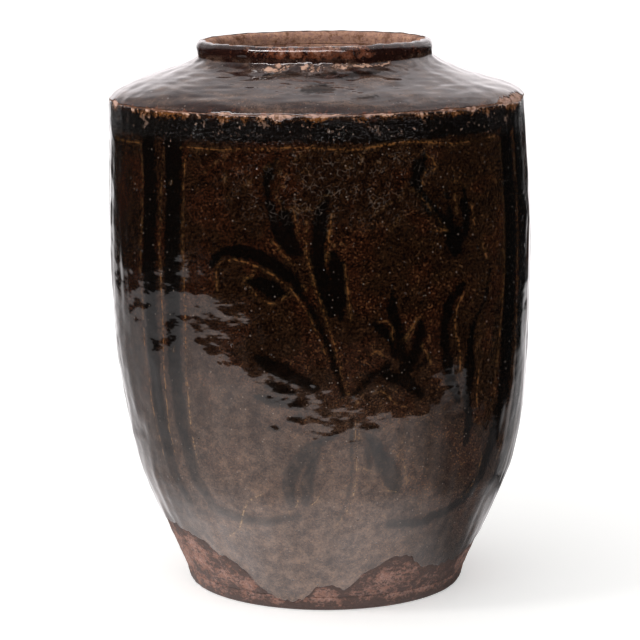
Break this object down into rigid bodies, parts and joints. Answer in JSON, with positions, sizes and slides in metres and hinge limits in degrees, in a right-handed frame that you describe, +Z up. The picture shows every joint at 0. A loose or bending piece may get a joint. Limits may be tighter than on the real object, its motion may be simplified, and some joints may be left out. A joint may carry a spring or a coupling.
{
  "type": "vinegar pot",
  "caption": "Tall glazed stoneware storage pot with a sharp shoulder, a short neck and a rolled lip round an open mouth, standing on a narrow flat foot.",
  "frame": {"origin": "centre of the flat underside of the foot, on the floor", "axes": "+Z up through the mouth, -Y the front with the incised plant sprays, +X the right-hand side seen from the front"},
  "size_m": [0.3399, 0.339, 0.4409],
  "materials": {
    "foot_clay": "unglazed fired clay, red-brown with smoke-dark patches",
    "body_clay": "unglazed fired clay, pinkish red-brown",
    "lip_clay": "fired clay, worn bare on edge, neck and lip",
    "wall_glaze": "glossy iron glaze, brown where thin and black where thick",
    "top_glaze": "glossy iron black glaze, worn on the lip",
    "lining_glaze": "thin satin brown glaze"
  },
  "bodies": {
    "root": {"base_disc": "foot_clay", "lower_wall": "body_clay", "upper_wall": "body_clay", "shoulder": "lip_clay", "neck_collar": "lip_clay", "rim_roll": "lip_clay", "wall_glaze": "wall_glaze", "shoulder_glaze": "top_glaze", "lining_glaze": "lining_glaze"}
  },
  "joints": []
}
